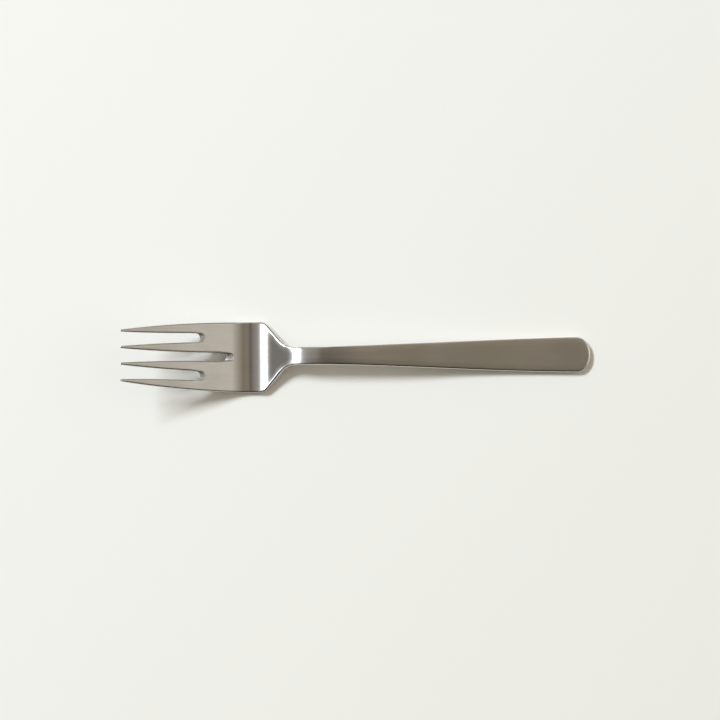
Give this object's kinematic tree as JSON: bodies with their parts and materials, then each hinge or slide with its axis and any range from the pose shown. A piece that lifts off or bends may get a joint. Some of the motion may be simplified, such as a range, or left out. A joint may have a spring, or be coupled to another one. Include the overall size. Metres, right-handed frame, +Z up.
{
  "type": "fish fork",
  "caption": "Slim fish fork of satin stainless steel with short tapering tines, a shallow bowl, sloping shoulders, a raised neck and a long flat handle, for eating fish at table.",
  "frame": {"origin": "on the table plane, under the middle of the fork's bounding box as it lies face up", "axes": "+X runs along the fork from the handle end to the tips, +Y is to the left looking towards the tips, +Z is up"},
  "size_m": [0.1748, 0.0264, 0.0196],
  "materials": {
    "satin_steel": "satin stainless steel, finely brushed along its length"
  },
  "bodies": {
    "root": {"handle": "satin_steel", "neck": "satin_steel", "shoulder": "satin_steel", "bowl": "satin_steel", "left_outer_tine": "satin_steel", "left_inner_tine": "satin_steel", "right_inner_tine": "satin_steel", "right_outer_tine": "satin_steel"}
  },
  "joints": []
}
